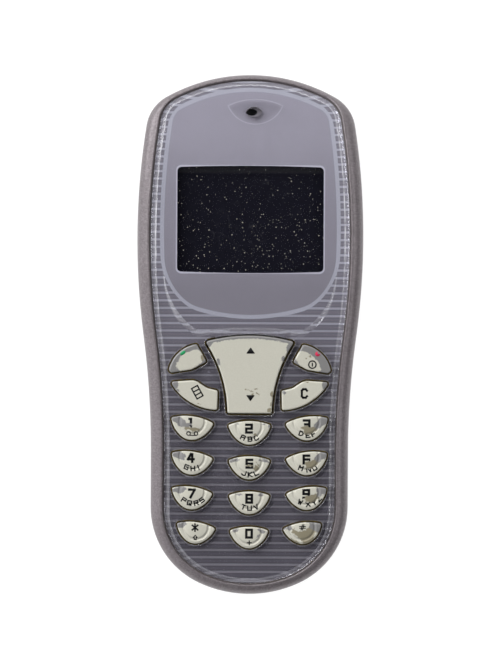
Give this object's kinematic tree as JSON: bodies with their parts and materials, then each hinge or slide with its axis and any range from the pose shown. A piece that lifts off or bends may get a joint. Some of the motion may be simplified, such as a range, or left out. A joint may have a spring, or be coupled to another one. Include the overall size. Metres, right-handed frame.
{
  "type": "bar phone",
  "caption": "Bar mobile phone with a clear striped faceplate, small display, rocker and half-moon number keys, lying on its back.",
  "frame": {"origin": "under the middle of the phone, on the flat of its back", "axes": "+Z out of the front face, +Y towards the earpiece end, +X to the right seen from the front"},
  "size_m": [0.0456, 0.105, 0.0203],
  "materials": {
    "casing_paint": "metallic taupe paint on moulded ABS",
    "clear_plastic": "clear moulded polycarbonate",
    "decor_print": "grey print with pale stripes",
    "key_paint": "silver paint on moulded keys, worn",
    "grey_rubber": "moulded silicone",
    "dome_foil": "clear film over metal domes",
    "board_green": "green solder mask",
    "chip_black": "moulded epoxy",
    "lamp_amber": "clear lamp bodies",
    "display_glass": "dark glass",
    "white_plastic": "moulded",
    "black_foam": "foam",
    "tin_plate": "tinned sheet",
    "steel": "plated steel",
    "weight_metal": "sintered heavy metal",
    "brass": "turned brass",
    "gold_contact": "gold flashed springs",
    "black_plastic": "moulded",
    "rear_plastic": "moulded ABS, fine texture",
    "battery_wrap": "wrapped cell",
    "card_plastic": "card with contact pad"
  },
  "bodies": {
    "handset": {"front_casing": "casing_paint", "faceplate": "clear_plastic", "decor_film": "decor_print", "keypad_mat": "grey_rubber", "dome_sheet": "dome_foil", "keypad_leds": "lamp_amber", "display_glass": "display_glass", "display_gasket": "black_foam", "display_holder": "white_plastic", "display_connector": "black_plastic", "earpiece_speaker": "steel", "earpiece_gasket": "black_foam", "microphone": "steel", "microphone_boot": "grey_rubber", "buzzer": "black_plastic", "vibration_motor": "steel", "main_board": "board_green", "rf_shield_can": "tin_plate", "baseband_shield_can": "tin_plate", "board_chips": "chip_black", "sim_holder": "black_plastic", "sim_card": "card_plastic", "antenna_carrier": "white_plastic", "antenna_plate": "gold_contact", "antenna_contacts": "gold_contact", "backup_cell": "steel", "rear_casing": "rear_plastic", "battery_pack": "battery_wrap", "battery_contacts": "black_plastic", "casing_screws": "steel", "thread_inserts": "brass", "charge_socket": "black_plastic", "headset_socket": "black_plastic"},
    "nav_key": {"nav_key": "key_paint"},
    "send_key": {"send_key": "key_paint"},
    "end_key": {"end_key": "key_paint"},
    "names_key": {"names_key": "key_paint"},
    "clear_key": {"clear_key": "key_paint"},
    "key_1": {"key_1": "key_paint"},
    "key_2": {"key_2": "key_paint"},
    "key_3": {"key_3": "key_paint"},
    "key_4": {"key_4": "key_paint"},
    "key_5": {"key_5": "key_paint"},
    "key_6": {"key_6": "key_paint"},
    "key_7": {"key_7": "key_paint"},
    "key_8": {"key_8": "key_paint"},
    "key_9": {"key_9": "key_paint"},
    "key_star": {"key_star": "key_paint"},
    "key_0": {"key_0": "key_paint"},
    "key_hash": {"key_hash": "key_paint"},
    "battery_cover": {"battery_cover": "rear_plastic"},
    "vibration_weight": {"vibration_weight": "weight_metal"}
  },
  "joints": [
    {"name": "nav_key_rock", "type": "hinge", "parent": "handset", "child": "nav_key", "pos_m": [0, -0.008, 0.0171], "axis": [1, 0, 0], "range_deg": [-3, 3], "stiffness_Nm_per_rad": 0.15},
    {"name": "send_key_press", "type": "slide", "parent": "handset", "child": "send_key", "axis": [0, 0, -1], "range_m": [0, 0.0004], "stiffness_N_per_m": 1500},
    {"name": "end_key_press", "type": "slide", "parent": "handset", "child": "end_key", "axis": [0, 0, -1], "range_m": [0, 0.0004], "stiffness_N_per_m": 1500},
    {"name": "names_key_press", "type": "slide", "parent": "handset", "child": "names_key", "axis": [0, 0, -1], "range_m": [0, 0.0004], "stiffness_N_per_m": 1500},
    {"name": "clear_key_press", "type": "slide", "parent": "handset", "child": "clear_key", "axis": [0, 0, -1], "range_m": [0, 0.0004], "stiffness_N_per_m": 1500},
    {"name": "key_1_press", "type": "slide", "parent": "handset", "child": "key_1", "axis": [0, 0, -1], "range_m": [0, 0.0004], "stiffness_N_per_m": 1500},
    {"name": "key_2_press", "type": "slide", "parent": "handset", "child": "key_2", "axis": [0, 0, -1], "range_m": [0, 0.0004], "stiffness_N_per_m": 1500},
    {"name": "key_3_press", "type": "slide", "parent": "handset", "child": "key_3", "axis": [0, 0, -1], "range_m": [0, 0.0004], "stiffness_N_per_m": 1500},
    {"name": "key_4_press", "type": "slide", "parent": "handset", "child": "key_4", "axis": [0, 0, -1], "range_m": [0, 0.0004], "stiffness_N_per_m": 1500},
    {"name": "key_5_press", "type": "slide", "parent": "handset", "child": "key_5", "axis": [0, 0, -1], "range_m": [0, 0.0004], "stiffness_N_per_m": 1500},
    {"name": "key_6_press", "type": "slide", "parent": "handset", "child": "key_6", "axis": [0, 0, -1], "range_m": [0, 0.0004], "stiffness_N_per_m": 1500},
    {"name": "key_7_press", "type": "slide", "parent": "handset", "child": "key_7", "axis": [0, 0, -1], "range_m": [0, 0.0004], "stiffness_N_per_m": 1500},
    {"name": "key_8_press", "type": "slide", "parent": "handset", "child": "key_8", "axis": [0, 0, -1], "range_m": [0, 0.0004], "stiffness_N_per_m": 1500},
    {"name": "key_9_press", "type": "slide", "parent": "handset", "child": "key_9", "axis": [0, 0, -1], "range_m": [0, 0.0004], "stiffness_N_per_m": 1500},
    {"name": "key_star_press", "type": "slide", "parent": "handset", "child": "key_star", "axis": [0, 0, -1], "range_m": [0, 0.0004], "stiffness_N_per_m": 1500},
    {"name": "key_0_press", "type": "slide", "parent": "handset", "child": "key_0", "axis": [0, 0, -1], "range_m": [0, 0.0004], "stiffness_N_per_m": 1500},
    {"name": "key_hash_press", "type": "slide", "parent": "handset", "child": "key_hash", "axis": [0, 0, -1], "range_m": [0, 0.0004], "stiffness_N_per_m": 1500},
    {"name": "battery_cover_slide", "type": "slide", "parent": "handset", "child": "battery_cover", "axis": [0, -1, 0], "range_m": [0, 0.075]},
    {"name": "vibration_weight_spin", "type": "hinge", "parent": "handset", "child": "vibration_weight", "pos_m": [0.012, 0.025, 0.00695], "axis": [1, 0, 0], "continuous": true}
  ]
}
